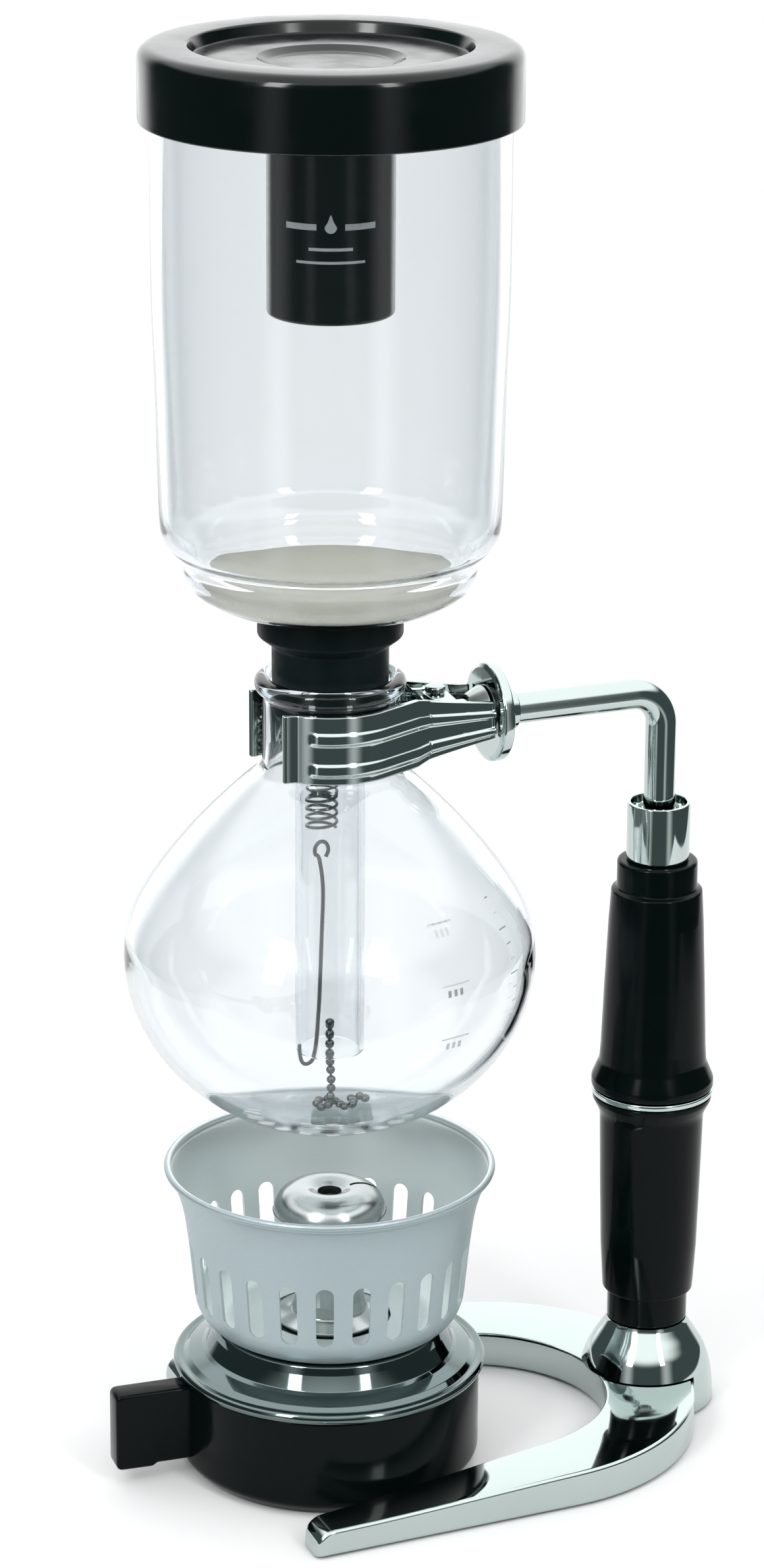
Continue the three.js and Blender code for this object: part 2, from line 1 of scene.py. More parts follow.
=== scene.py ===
# Looks for the siphon coffee maker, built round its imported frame. Profiles are in millimetres,
# as [radius, height] about a piece's own axis; the place of each axis comes from the frame.
import math

import bmesh
import bpy
from mathutils import Matrix, Vector


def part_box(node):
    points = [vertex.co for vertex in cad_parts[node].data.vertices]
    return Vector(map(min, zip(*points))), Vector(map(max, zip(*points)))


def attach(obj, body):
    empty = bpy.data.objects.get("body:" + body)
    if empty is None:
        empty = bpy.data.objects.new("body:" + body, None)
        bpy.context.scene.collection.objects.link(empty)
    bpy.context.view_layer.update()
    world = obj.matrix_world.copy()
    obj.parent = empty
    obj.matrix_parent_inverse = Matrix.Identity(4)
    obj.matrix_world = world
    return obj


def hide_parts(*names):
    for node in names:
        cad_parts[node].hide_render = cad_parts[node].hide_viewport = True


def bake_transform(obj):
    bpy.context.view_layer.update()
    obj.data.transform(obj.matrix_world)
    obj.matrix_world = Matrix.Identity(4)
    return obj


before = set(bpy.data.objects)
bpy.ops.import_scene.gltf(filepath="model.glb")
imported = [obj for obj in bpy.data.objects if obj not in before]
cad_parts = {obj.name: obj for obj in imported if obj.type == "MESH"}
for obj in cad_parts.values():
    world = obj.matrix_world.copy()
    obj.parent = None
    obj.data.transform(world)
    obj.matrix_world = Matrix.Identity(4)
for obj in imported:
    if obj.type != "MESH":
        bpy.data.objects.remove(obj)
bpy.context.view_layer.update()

MM = 0.001
TURN = 2 * math.pi
STAND_TURN = math.radians(22)       # the handle points this far away from the picture's right


def middle(node):
    low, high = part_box(node)
    return (low + high) / 2


BOWL = middle("lower_bowl")       # the bowls' axis
BOWL_X, BOWL_Y = BOWL.x / MM, BOWL.y / MM
HANDLE = middle("grip_ring")
HANDLE_X = HANDLE.x / MM - BOWL_X  # the handle's axis, seen from the bowls' axis
ARM_Z = middle("clamp_nut").z / MM
PIVOT_X = middle("clamp_pivot_pin").x / MM - BOWL_X


# ---- camera ----
def camera():
    yaw, pitch, roll = 0.0094, math.radians(18.41), 0.0051
    x, y, z = 2.3, -1045.9, 520.7
    turn = Matrix.Rotation(-STAND_TURN, 3, "Z")
    forward = Vector((math.sin(yaw) * math.cos(pitch), math.cos(yaw) * math.cos(pitch),
                      -math.sin(pitch)))
    flat_right = Vector((math.cos(yaw), -math.sin(yaw), 0))
    flat_up = flat_right.cross(forward)
    right = turn @ (math.cos(roll) * flat_right + math.sin(roll) * flat_up)
    up = turn @ (math.cos(roll) * flat_up - math.sin(roll) * flat_right)
    back = -(turn @ forward)
    place = turn @ Vector((x, y, z)) * MM + Vector((BOWL_X * MM, BOWL_Y * MM, 0))
    data = bpy.data.cameras.new("camera")
    data.lens = 108.2
    data.sensor_width = 36
    data.clip_start = 0.05
    thing = bpy.data.objects.new("camera", data)
    bpy.context.scene.collection.objects.link(thing)
    thing.matrix_world = Matrix((
        (right.x, up.x, back.x, place.x),
        (right.y, up.y, back.y, place.y),
        (right.z, up.z, back.z, place.z),
        (0, 0, 0, 1),
    ))
    bpy.context.scene.camera = thing


camera()


# ---- materials ----
def material(name, colour, roughness, metallic=0.0, **sockets):
    made = bpy.data.materials.new(name)
    made.use_nodes = True
    shader = made.node_tree.nodes["Principled BSDF"]
    shader.inputs["Base Color"].default_value = (*colour, 1)
    shader.inputs["Roughness"].default_value = roughness
    shader.inputs["Metallic"].default_value = metallic
    for socket, value in sockets.items():
        shader.inputs[socket.replace("_", " ")].default_value = value
    return made


def noise(made, scale, detail=3.0, stretch=(1, 1, 1)):
    nodes, links = made.node_tree.nodes, made.node_tree.links
    place = nodes.new("ShaderNodeTexCoord")
    mapping = nodes.new("ShaderNodeMapping")
    mapping.inputs["Scale"].default_value = stretch
    texture = nodes.new("ShaderNodeTexNoise")
    texture.inputs["Scale"].default_value = scale
    texture.inputs["Detail"].default_value = detail
    links.new(place.outputs["Object"], mapping.inputs["Vector"])
    links.new(mapping.outputs["Vector"], texture.inputs["Vector"])
    return texture.outputs["Fac"]


def ramp(made, factor, low, high, start=0.35, end=0.65):
    node = made.node_tree.nodes.new("ShaderNodeMapRange")
    node.inputs["From Min"].default_value = start
    node.inputs["From Max"].default_value = end
    node.inputs["To Min"].default_value = low
    node.inputs["To Max"].default_value = high
    made.node_tree.links.new(factor, node.inputs["Value"])
    return node.outputs["Result"]


def mix(made, factor, first, second):
    node = made.node_tree.nodes.new("ShaderNodeMix")
    node.data_type = "RGBA"
    node.inputs["A"].default_value = (*first, 1)
    node.inputs["B"].default_value = (*second, 1)
    made.node_tree.links.new(factor, node.inputs["Factor"])
    return node.outputs["Result"]


def wire_up(made, output, socket):
    shader = made.node_tree.nodes["Principled BSDF"]
    made.node_tree.links.new(output, shader.inputs[socket])


def bump(made, height, strength, distance):
    node = made.node_tree.nodes.new("ShaderNodeBump")
    node.inputs["Strength"].default_value = strength
    node.inputs["Distance"].default_value = distance
    made.node_tree.links.new(height, node.inputs["Height"])
    wire_up(made, node.outputs["Normal"], "Normal")


def polished(name, colour, rough_low, rough_high):
    made = material(name, colour, rough_low, 1.0)
    cloudy = noise(made, 90)
    wire_up(made, ramp(made, cloudy, rough_low, rough_high), "Roughness")
    wire_up(made, mix(made, noise(made, 35), colour, [c * 0.94 for c in colour]), "Base Color")
    bump(made, noise(made, 260, 2), 0.02, 0.0002)
    return made


def satin_aluminium():
    """Satin outside, with painted light inside: the inside is painted paler. For parts that are
    round about the bowl's axis.
    """
    made = material("satin_aluminium", (0.42, 0.49, 0.51), 0.45, 0.7)
    nodes, links = made.node_tree.nodes, made.node_tree.links
    place = nodes.new("ShaderNodeTexCoord")
    from_axis = nodes.new("ShaderNodeVectorMath")
    from_axis.operation = "SUBTRACT"
    from_axis.inputs[1].default_value = (BOWL_X * MM, BOWL_Y * MM, 0)
    links.new(place.outputs["Object"], from_axis.inputs[0])
    outward = nodes.new("ShaderNodeVectorMath")
    outward.operation = "MULTIPLY"
    outward.inputs[1].default_value = (1, 1, 0)
    links.new(from_axis.outputs["Vector"], outward.inputs[0])
    facing = nodes.new("ShaderNodeVectorMath")
    facing.operation = "DOT_PRODUCT"
    links.new(outward.outputs["Vector"], facing.inputs[0])
    links.new(place.outputs["Normal"], facing.inputs[1])
    outside = ramp(made, facing.outputs["Value"], 0, 1, -0.004, 0.004)
    # The inside gets a paler colour than the outside: painted light, standing in for the light that
    # reaches the screen's inside through the glass.
    wire_up(made, mix(made, outside, (0.80, 0.86, 0.86), (0.40, 0.475, 0.495)), "Base Color")
    grain = noise(made, 900, 2, (1, 1, 6))
    wire_up(made, ramp(made, grain, 0.42, 0.54), "Roughness")
    bump(made, grain, 0.12, 0.0002)
    return made


def gloss_black(name, mirror):
    made = material(name, (0.002, 0.004, 0.004), 0.12, 0.0, Specular_IOR_Level=mirror)
    wire_up(made, ramp(made, noise(made, 120), 0.10, 0.19), "Roughness")
    cloudy = mix(made, noise(made, 25), (0.0008, 0.0025, 0.0025), (0.002, 0.0045, 0.0045))
    wire_up(made, cloudy, "Base Color")
    bump(made, noise(made, 420, 1), 0.015, 0.0002)
    return made


def soft_rubber():
    made = material("soft_rubber", (0.004, 0.009, 0.010), 0.4, 0.0, Specular_IOR_Level=0.1)
    wire_up(made, ramp(made, noise(made, 300), 0.34, 0.5), "Roughness")
    cloudy = mix(made, noise(made, 60), (0.003, 0.008, 0.009), (0.006, 0.012, 0.013))
    wire_up(made, cloudy, "Base Color")
    bump(made, noise(made, 1400, 2), 0.12, 0.0002)
    return made


def clear_glass(name):
    made = material(name, (0.985, 0.99, 0.99), 0.0, 0.0, Transmission_Weight=1.0, IOR=1.47)
    wire_up(made, ramp(made, noise(made, 30), 0.0, 0.012), "Roughness")
    bump(made, noise(made, 22, 1), 0.03, 0.0006)
    nodes = made.node_tree.nodes
    depth = nodes.new("ShaderNodeVolumeAbsorption")
    depth.inputs["Color"].default_value = (0.58, 0.66, 0.72, 1)
    depth.inputs["Density"].default_value = 105
    made.node_tree.links.new(depth.outputs["Volume"], nodes["Material Output"].inputs["Volume"])
    return made


def woven_cloth():
    made = material("woven_cloth", (0.93, 0.91, 0.79), 0.9, 0.0, Sheen_Weight=0.3)
    nodes, links = made.node_tree.nodes, made.node_tree.links
    place = nodes.new("ShaderNodeTexCoord")
    threads = []
    for direction in ("X", "Y"):
        wave = nodes.new("ShaderNodeTexWave")
        wave.bands_direction = direction
        wave.inputs["Scale"].default_value = 420
        wave.inputs["Distortion"].default_value = 1.2
        wave.inputs["Detail"].default_value = 1
        links.new(place.outputs["Object"], wave.inputs["Vector"])
        threads.append(wave.outputs["Fac"])
    weave = nodes.new("ShaderNodeMath")
    weave.operation = "MAXIMUM"
    links.new(threads[0], weave.inputs[0])
    links.new(threads[1], weave.inputs[1])
    wire_up(made, mix(made, noise(made, 220), (0.93, 0.90, 0.74), (0.97, 0.94, 0.80)), "Base Color")
    bump(made, weave.outputs["Value"], 0.35, 0.0003)
    return made


def charred_wick():
    """Cotton that is burnt dark at its tip."""
    made = material("wick_cotton", (0.7, 0.66, 0.56), 0.95)
    nodes, links = made.node_tree.nodes, made.node_tree.links
    place = nodes.new("ShaderNodeTexCoord")
    parts = nodes.new("ShaderNodeSeparateXYZ")
    links.new(place.outputs["Generated"], parts.inputs["Vector"])
    burnt = ramp(made, parts.outputs["Z"], 0, 1, 0.9, 0.97)
    wire_up(made, mix(made, burnt, (0.7, 0.66, 0.56), (0.015, 0.013, 0.012)), "Base Color")
    bump(made, noise(made, 900, 2), 0.4, 0.0004)
    return made


def print_grey():
    made = material("print_grey", (0.55, 0.58, 0.57), 0.6)
    wire_up(made, mix(made, noise(made, 900), (0.48, 0.51, 0.50), (0.66, 0.69, 0.68)), "Base Color")
    return made


CHROME = polished("chrome_plate", (0.50, 0.57, 0.55), 0.03, 0.07)
# A copy of the chrome with its colour painted dark: a painted dark reflection of dim surroundings,
# used on the lamp's collar.
CHROME_PAINTED_DARK = polished("chrome_with_painted_dark_reflection", (0.15, 0.19, 0.19), 0.04, 0.09)
STEEL = polished("bright_steel", (0.44, 0.48, 0.47), 0.16, 0.28)
WIRE = polished("wire_steel", (0.17, 0.18, 0.175), 0.22, 0.36)
BRASS = polished("brass", (0.66, 0.52, 0.26), 0.2, 0.34)
SATIN = satin_aluminium()
BLACK = gloss_black("gloss_black", 0.09)
LID_BLACK = gloss_black("lid_black", 0.34)
RUBBER = soft_rubber()
GLASS = clear_glass("clear_glass")
CLOTH = woven_cloth()
COTTON = woven_cloth()
COTTON.name = "cotton_cord"
WICK = charred_wick()
PRINT = print_grey()


# ---- mesh helpers ----
def fillet(points, closed=True, steps=5):
    """Rounds each corner that has a third number, its radius, with an arc."""
    result = []
    count = len(points)
    for i, p in enumerate(points):
        inner = closed or 0 < i < count - 1
        if len(p) < 3 or not inner:
            result.append((p[0], p[1]))
            continue
        corner = Vector(p[:2])
        before = Vector(points[i - 1][:2]) - corner
        after = Vector(points[(i + 1) % count][:2]) - corner
        half = before.angle(after) / 2
        run = min(p[2] / math.tan(half), 0.49 * before.length, 0.49 * after.length)
        start = corner + before.normalized() * run
        end = corner + after.normalized() * run
        for k in range(steps + 1):
            t = k / steps
            spot = (1 - t) ** 2 * start + 2 * t * (1 - t) * corner + t * t * end
            result.append((spot.x, spot.y))
    return result


def smooth_line(points, steps=4):
    """A Catmull-Rom curve through points."""
    line = []
    ends = [points[0]] + list(points) + [points[-1]]
    for i in range(1, len(ends) - 2):
        a, b, c, d = (Vector(p) for p in ends[i - 1:i + 3])
        for k in range(steps):
            t = k / steps
            line.append(tuple(0.5 * (2 * b + (c - a) * t + (2 * a - 5 * b + 4 * c - d) * t * t
                                     + (3 * b - a - 3 * c + d) * t ** 3)))
    line.append(tuple(points[-1]))
    return line


def build(name, made, vertices, faces, sharp=40):
    """A mesh object in metres from points in millimetres, smooth but for its sharp edges."""
    mesh = bpy.data.meshes.new(name)
    mesh.from_pydata([tuple(c * MM for c in v) for v in vertices], [], faces)
    form = bmesh.new()
    form.from_mesh(mesh)
    bmesh.ops.remove_doubles(form, verts=form.verts, dist=1e-7)
    bmesh.ops.recalc_face_normals(form, faces=form.faces)
    shade(form, sharp)
    form.to_mesh(mesh)
    form.free()
    mesh.materials.append(made)
    thing = bpy.data.objects.new(name, mesh)
    bpy.context.scene.collection.objects.link(thing)
    return thing


def shade(form, sharp):
    for face in form.faces:
        face.smooth = True
    for edge in form.edges:
        edge.smooth = len(edge.link_faces) == 2 and edge.calc_face_angle(0) < math.radians(sharp)


def lathe(name, made, profile, centre=(0, 0), segments=96, sharp=40):
    """A turned piece: profile is a closed outline, or starts and ends on the axis."""
    open_ends = profile[0][0] < 1e-6 and profile[-1][0] < 1e-6
    count = len(profile)
    vertices = []
    for i in range(segments):
        angle = TURN * i / segments
        for r, z in profile:
            vertices.append((centre[0] + BOWL_X + r * math.cos(angle),
                             centre[1] + BOWL_Y + r * math.sin(angle), z))
    faces = []
    for i in range(segments):
        j = (i + 1) % segments
        for k in range(count - 1 if open_ends else count):
            n = (k + 1) % count
            faces.append((i * count + k, j * count + k, j * count + n, i * count + n))
    return build(name, made, vertices, faces, sharp)


def sweep(name, made, path, radius, sides=12, sharp=40):
    """A round wire along a list of points in millimetres, with its ends closed."""
    points = [Vector(p) for p in path]
    tangent = (points[1] - points[0]).normalized()
    normal = tangent.orthogonal().normalized()
    vertices, faces = [], []
    for i, p in enumerate(points):
        ahead = points[min(i + 1, len(points) - 1)] - points[max(i - 1, 0)]
        turn = tangent.rotation_difference(ahead.normalized())
        tangent, normal = ahead.normalized(), (turn @ normal).normalized()
        side = tangent.cross(normal)
        for k in range(sides):
            angle = TURN * k / sides
            vertices.append(p + radius * (math.cos(angle) * normal + math.sin(angle) * side))
    for i in range(len(points) - 1):
        for k in range(sides):
            n = (k + 1) % sides
            faces.append((i * sides + k, i * sides + n, (i + 1) * sides + n, (i + 1) * sides + k))
    faces.append(tuple(reversed(range(sides))))
    faces.append(tuple(range((len(points) - 1) * sides, len(points) * sides)))
    return build(name, made, vertices, faces, sharp)


def carve(thing, tool, operation="DIFFERENCE", sharp=40):
    """Cuts tool from thing, or joins them, and deletes tool."""
    step = thing.modifiers.new("carve", "BOOLEAN")
    step.operation = operation
    step.object = tool
    step.solver = "EXACT"
    bpy.context.view_layer.update()
    evaluated = thing.evaluated_get(bpy.context.evaluated_depsgraph_get())
    mesh = bpy.data.meshes.new_from_object(evaluated)
    thing.modifiers.clear()
    thing.data = mesh
    form = bmesh.new()
    form.from_mesh(mesh)
    shade(form, sharp)
    form.to_mesh(mesh)
    form.free()
    bpy.data.objects.remove(tool)


def show(piece, body, slot, *nodes):
    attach(piece, body)
    if nodes:
        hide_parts(*nodes)


# ---- lid ----
def lid():
    outline = fillet([
        (0, 341.7), (14.2, 341.8, 3), (16.8, 343.1, 1), (31.2, 343.1, 0.6), (32.2, 346, 0.8),
        (43.4, 346, 3.2), (43.4, 328.9, 0.7), (41.5, 328.9, 0.4), (41.5, 340.3, 0.5),
        (14.6, 340.3, 0.8), (14.6, 285.1, 1.1), (12.4, 285.1, 0.5), (12.2, 338.9, 0.5),
        (0, 338.9),
    ], closed=False)
    show(lathe("lid_cap", LID_BLACK, outline, segments=128), "lid", "black_plastic", "lid")


# A generic mark on the lid's tube: a drop between two short bars, over two thin lines.
def lid_mark():
    facing = math.radians(-90) - STAND_TURN
    radius = 14.63

    def on_tube(name, outline):
        def ring(r):
            return [(BOWL_X + r * math.cos(facing + u / radius),
                     BOWL_Y + r * math.sin(facing + u / radius), v)
                    for u, v in outline]
        count = len(outline)
        faces = [tuple(range(count)), tuple(range(2 * count - 1, count - 1, -1))]
        faces += [(i, (i + 1) % count, count + (i + 1) % count, count + i) for i in range(count)]
        piece = build(name, PRINT, ring(radius + 0.05) + ring(radius), faces)
        show(piece, "lid", "black_plastic")

    def bar(name, u, v, half_wide, half_high, steps=8):
        top = [(u - half_wide + 2 * half_wide * k / steps, v + half_high) for k in range(steps + 1)]
        low = [(a, v - half_high) for a, _ in reversed(top)]
        on_tube(name, top + low)

    drop = []
    for k in range(25):
        angle = TURN * k / 24
        tall = 1.0 + 1.1 * max(0, math.cos(angle)) ** 6
        narrow = 1 - 0.35 * max(0, math.cos(angle))
        drop.append((1.35 * math.sin(angle) * narrow, 307.6 + 1.35 * tall * math.cos(angle)))
    on_tube("tube_mark_drop", drop[:-1])
    bar("tube_mark_left", -7, 307.6, 3.8, 0.7)
    bar("tube_mark_right", 7, 307.6, 3.8, 0.7)
    bar("tube_mark_upper_line", 0, 302.6, 5, 0.35)
    bar("tube_mark_lower_line", 0, 299.6, 8, 0.3)


# ---- bowls ----
def upper_bowl():
    outside = smooth_line([
        (22, 216.2), (27.7, 218.4), (32.2, 221.2), (33.7, 223.6), (34, 226.2), (34.7, 228),
        (36, 229.9), (37.9, 231.8), (39.1, 234.6), (39.5, 240), (39.85, 255), (40.2, 270),
        (40.7, 285), (40.85, 300), (40.85, 338),
    ])
    inside = smooth_line([
        (24.2, 218.2), (27.6, 219.3), (30.6, 221.1), (31.9, 223.8), (32.3, 226), (32.8, 228.6),
        (34.3, 231), (36.2, 233), (37.2, 236), (37.6, 241), (38, 255), (38.35, 270), (38.8, 285),
        (38.95, 300), (38.95, 338),
    ])
    lip = fillet([(40.85, 338.5), (40.85, 340, 0.9), (38.95, 340, 0.9), (38.95, 338.5)],
                 closed=False)
    stem_low = fillet([(6.9, 110), (6.9, 106, 0.6), (8.2, 106, 0.6), (8.2, 110)], closed=False)
    root = fillet([(8.2, 210), (8.2, 215.7, 1.2), (15, 215.9)], closed=False)
    mouth = fillet([(16, 217.9), (6.9, 217.5, 2.2), (6.9, 210)], closed=False)
    outline = stem_low + root + outside + lip + inside[::-1] + mouth
    glass = lathe("upper_glass", GLASS, outline, segments=128, sharp=60)
    show(glass, "upper_bowl", "clear_glass", "upper_bowl")


BULB_RADIUS = 48.8      # the lower bowl where it is widest
BULB_Z = 131            # the height of that place
BULB_DROP = 43          # from there down to the bowl's lowest point
BULB_WALL = 1.8
BULB_SHOULDER = [
    (48.8, 131), (48.2, 137.4), (46.4, 142.5), (43.2, 148), (38.9, 154), (34, 160), (29, 165.5),
    (24, 170.5), (19.6, 174.6), (17, 176.6), (15.95, 178.6),
]


def bulb_line(radius, drop, steps=18):
    quarter = [math.pi / 2 * k / steps for k in range(steps)]
    return [(radius * math.sin(angle), BULB_Z - drop * math.cos(angle)) for angle in quarter]


def lower_bowl():
    outside = bulb_line(BULB_RADIUS, BULB_DROP) + smooth_line(BULB_SHOULDER)
    inner_radius = BULB_RADIUS - BULB_WALL
    shrunk = [(inner_radius, BULB_Z)] + [(r - 1.5, z - 1.2) for r, z in BULB_SHOULDER[1:]]
    inside = bulb_line(inner_radius, BULB_DROP - BULB_WALL) + smooth_line(shrunk)
    lip = smooth_line([
        (15.9, 182), (15.9, 193.5), (16.3, 195.2), (17.4, 196.3), (17.7, 197.6), (17.3, 198.9),
        (16.2, 199.5), (15, 199.5), (14.1, 198.6), (13.9, 196.5), (13.9, 182),
    ])
    outline = outside + lip + inside[::-1]
    glass = lathe("lower_glass", GLASS, outline, segments=144, sharp=60)
    show(glass, "stand", "clear_glass", "lower_bowl")


def gasket():
    outline = fillet([
        (8.5, 189.6, 0.4), (12.4, 189.6, 0.6), (13.4, 191.4, 0.8), (13.65, 200),
        (13.65, 207, 0.8), (17, 209.6, 1), (17, 215.3, 1), (8.5, 215.3, 0.4),
    ])
    show(lathe("stem_gasket", RUBBER, outline), "upper_bowl", "black_rubber", "rubber_gasket")


# ---- filter ----
POST = (-1.85, 0.75)


def filter_parts():
    disc = fillet([(0, 220.2), (26, 220.2, 0.4), (26, 221.4, 0.4), (0, 221.4)], closed=False)
    show(lathe("filter_disc", STEEL, disc), "upper_bowl", "steel", "filter_plate")
    post = fillet([(0, 191.5), (3.2, 191.5, 0.3), (3.2, 192.3, 0.3), (1.1, 192.3), (1.1, 220),
                   (0, 220)], closed=False)
    show(lathe("filter_post", STEEL, post, POST, 32), "upper_bowl", "steel")
    edge = smooth_line([
        (0, 222.85), (12, 222.85), (22, 222.85), (27.2, 222.65), (29, 222.2), (29.8, 221.5),
        (29.3, 220.7), (27.4, 219.8), (24.6, 219.35), (21.6, 219.15),
    ], 5)
    gathers = 40
    segments = 240
    vertices, faces = [], []
    for i in range(segments):
        angle = TURN * i / segments
        for r, z in edge:
            pull = max(0, 222.6 - z) / 3.5
            ripple = 0.16 * pull * math.sin(gathers * angle)
            vertices.append((BOWL_X + (r + ripple) * math.cos(angle),
                             BOWL_Y + (r + ripple) * math.sin(angle), z + 0.4 * ripple))
    count = len(edge)
    for i in range(segments):
        j = (i + 1) % segments
        for k in range(count - 1):
            faces.append((i * count + k, j * count + k, j * count + k + 1, i * count + k + 1))
    cloth = build("cloth_disc", CLOTH, vertices, faces, 180)
    show(cloth, "upper_bowl", "filter_cloth", "filter_cloth")
    string = []
    for k in range(119):
        angle = TURN * k / 120
        string.append((BOWL_X + 20.4 * math.cos(angle), BOWL_Y + 20.4 * math.sin(angle), 219.4))
    show(sweep("drawstring", COTTON, string, 0.42, 8), "upper_bowl", "cotton", "cloth_drawstring")


def spring():
    low, high, pitch, radius = 161.3, 190.6, 2.15, 3.6
    turns = (high - low) / pitch
    steps = int(turns * 28)
    path = []
    for k in range(steps + 1):
        angle = TURN * turns * k / steps
        path.append((BOWL_X + POST[0] + radius * math.cos(angle),
                     BOWL_Y + POST[1] + radius * math.sin(angle),
                     low + pitch * turns * k / steps))
    piece = sweep("pull_spring", WIRE, path, 0.38, 8)
    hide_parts("filter_spring")
    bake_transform(piece)


def hook():
    away = math.radians(200)
    loop = []
    for k in range(7):
        angle = math.radians(-50 + 50 * k)
        loop.append((POST[0] + 1.7 * math.cos(angle), POST[1], 156 + 2.2 * math.sin(angle)))
    down = [(2.2, 147), (2.6, 135), (3.4, 118), (4.2, 109), (5.2, 105), (6.7, 103.9), (8.4, 104.3),
            (9.4, 106.2), (9.7, 109.5)]
    points = loop + [(r * math.cos(away), r * math.sin(away), z) for r, z in down]
    path = [(BOWL_X + x, BOWL_Y + y, z) for x, y, z in smooth_line(points, 6)]
    show(sweep("wire_hook", WIRE, path, 0.48, 10), "filter_hook", "steel", "filter_hook")


def chain():
    heading = -STAND_TURN
    heap = [
        (-0.6, -2.6), (-3, -1.6), (-2.6, 1.6), (0.4, 2.4), (2.2, -0.4), (4, -2.8), (6, -0.6),
        (5, 2.2), (7.6, 3), (9, 0.4),
    ]
    points = [(0, 0, 112), (0, 0, 104), (0.2, -0.4, 96)]
    for u, v in heap:
        inward = (u * u + v * v) / (BULB_RADIUS - BULB_WALL) ** 2
        floor = BULB_Z - (BULB_DROP - BULB_WALL) * math.sqrt(1 - inward)
        points.append((u * math.cos(heading) - v * math.sin(heading),
                       u * math.sin(heading) + v * math.cos(heading), floor + 1.4))
    path = [Vector((BOWL_X + x, BOWL_Y + y, z)) for x, y, z in smooth_line(points, 16)]
    form = bmesh.new()
    spacing = 2.3
    gone = spacing
    for a, b in zip(path, path[1:]):
        gone += (b - a).length
        if gone < spacing:
            continue
        gone -= spacing
        bmesh.ops.create_uvsphere(form, u_segments=16, v_segments=10, radius=1.1 * MM,
                                  matrix=Matrix.Translation(b * MM))
    shade(form, 60)
    mesh = bpy.data.meshes.new("bead_chain")
    form.to_mesh(mesh)
    form.free()
    mesh.materials.append(WIRE)
    beads = bpy.data.objects.new("bead_chain", mesh)
    bpy.context.scene.collection.objects.link(beads)
    link = sweep("bead_link", WIRE, path, 0.3, 6)
    for piece in (beads, link):
        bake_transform(piece)
    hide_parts("pull_chain")


# ---- handle ----
def on_handle(name, made, outline, segments=96, sharp=40):
    return lathe(name, made, outline, (HANDLE_X, 0), segments, sharp)


def handle():
    lower = fillet([
        (5.2, 22.5), (9.9, 22.5, 0.5), (9.9, 30, 0.5), (11.2, 30.5, 0.6), (11.9, 42.3, 30),
        (12.4, 60.2, 30), (12.8, 77.5, 6), (14.6, 81.1, 1.2), (14.7, 82.4, 0.4), (5.2, 82.4),
    ])
    show(on_handle("grip_lower", BLACK, lower), "stand", "black_plastic", "lower_grip")
    ring = fillet([(5.2, 82.7), (15, 82.7, 0.5), (15, 84.2, 0.5), (5.2, 84.2)])
    show(on_handle("grip_band", CHROME, ring), "stand", "chrome", "grip_ring")
    upper = fillet([
        (5.2, 84.5), (15.1, 84.5, 0.7), (15, 86.6, 1.4), (13.2, 91, 5), (12.9, 95.2, 6),
        (12.3, 111.7, 30), (11.6, 127.7, 30), (11.1, 135.5, 0.6), (9.8, 136, 0.5),
        (9.8, 143.1, 0.9), (4.2, 143.1), (4.2, 106), (5.2, 106),
    ])
    show(on_handle("grip_upper", BLACK, upper), "stand", "black_plastic", "upper_grip")
    ferrule = fillet([
        (4.2, 143.4), (7.7, 143.4, 0.4), (7.7, 157.8, 0.35), (6.8, 157.8, 0.3), (6.5, 154.2, 1),
        (4.2, 153),
    ])
    show(on_handle("grip_ferrule", CHROME, ferrule), "stand", "chrome", "handle_ferrule")


def arm():
    path = [(0, 108 + 70 * k / 10) for k in range(10)]
    bend = 8
    for k in range(25):
        angle = math.pi / 2 * k / 24
        path.append((-bend + bend * math.cos(angle), ARM_Z - bend + bend * math.sin(angle)))
    end = 31.5 - HANDLE_X
    path += [(-bend + (end + bend) * k / 10, ARM_Z) for k in range(1, 11)]
    points = [(BOWL_X + HANDLE_X + x, BOWL_Y, z) for x, z in path]
    show(sweep("arm_rod", CHROME, points, 3.75, 48, 50), "stand", "chrome", "support_arm")
    outline = [(PIVOT_X + 3 * math.cos(math.radians(a)), 2.9 * math.sin(math.radians(a)))
               for a in range(100, 261, 10)]
    outline += [(32.4, -2.2), (32.4, 2.2)]
    prism("arm_tongue", CHROME, outline, 183.2, 188.9, 0.35, "stand", "chrome")


def prism(name, made, outline, low, high, edge, body, slot, *nodes):
    """An upright plate from an outline about the bowls' axis, with its rims bevelled."""
    count = len(outline)
    vertices = [(BOWL_X + x, BOWL_Y + y, z) for z in (low, high) for x, y in outline]
    faces = [tuple(reversed(range(count))), tuple(range(count, 2 * count))]
    faces += [(i, (i + 1) % count, count + (i + 1) % count, count + i) for i in range(count)]
    piece = build(name, made, vertices, faces)
    if edge:
        form = bmesh.new()
        form.from_mesh(piece.data)
        rims = [e for e in form.edges if abs(e.verts[0].co.z - e.verts[1].co.z) < 1e-7]
        bmesh.ops.bevel(form, geom=rims, offset=edge * MM, segments=3, profile=0.5, affect="EDGES")
        shade(form, 40)
        form.to_mesh(piece.data)
        form.free()
    show(piece, body, slot, *nodes)
    return piece


# ---- base and foot ----
OUTER_EDGE = (43, 50.8, 0.025)
INNER_EDGE = (38.5, 32.8, 0.16)
TIP_X = -24


def edge_points(edge, arc_steps=48, leg_steps=40):
    """One edge of the horseshoe, from the front tip round the bend to the rear tip."""
    centre, radius, slope = edge
    turn = math.pi / 2 - math.atan(slope)
    start_x = centre + radius * math.cos(turn)
    start_y = radius * math.sin(turn)
    leg = []
    for k in range(leg_steps):
        x = TIP_X + (start_x - TIP_X) * (k / leg_steps) ** 1.8
        leg.append((x, start_y + slope * (start_x - x)))
    front = [(x, -y) for x, y in leg]
    arc = [(centre + radius * math.cos(a), radius * math.sin(a))
           for a in (-turn + 2 * turn * k / arc_steps for k in range(arc_steps + 1))]
    return front + arc + leg[::-1]


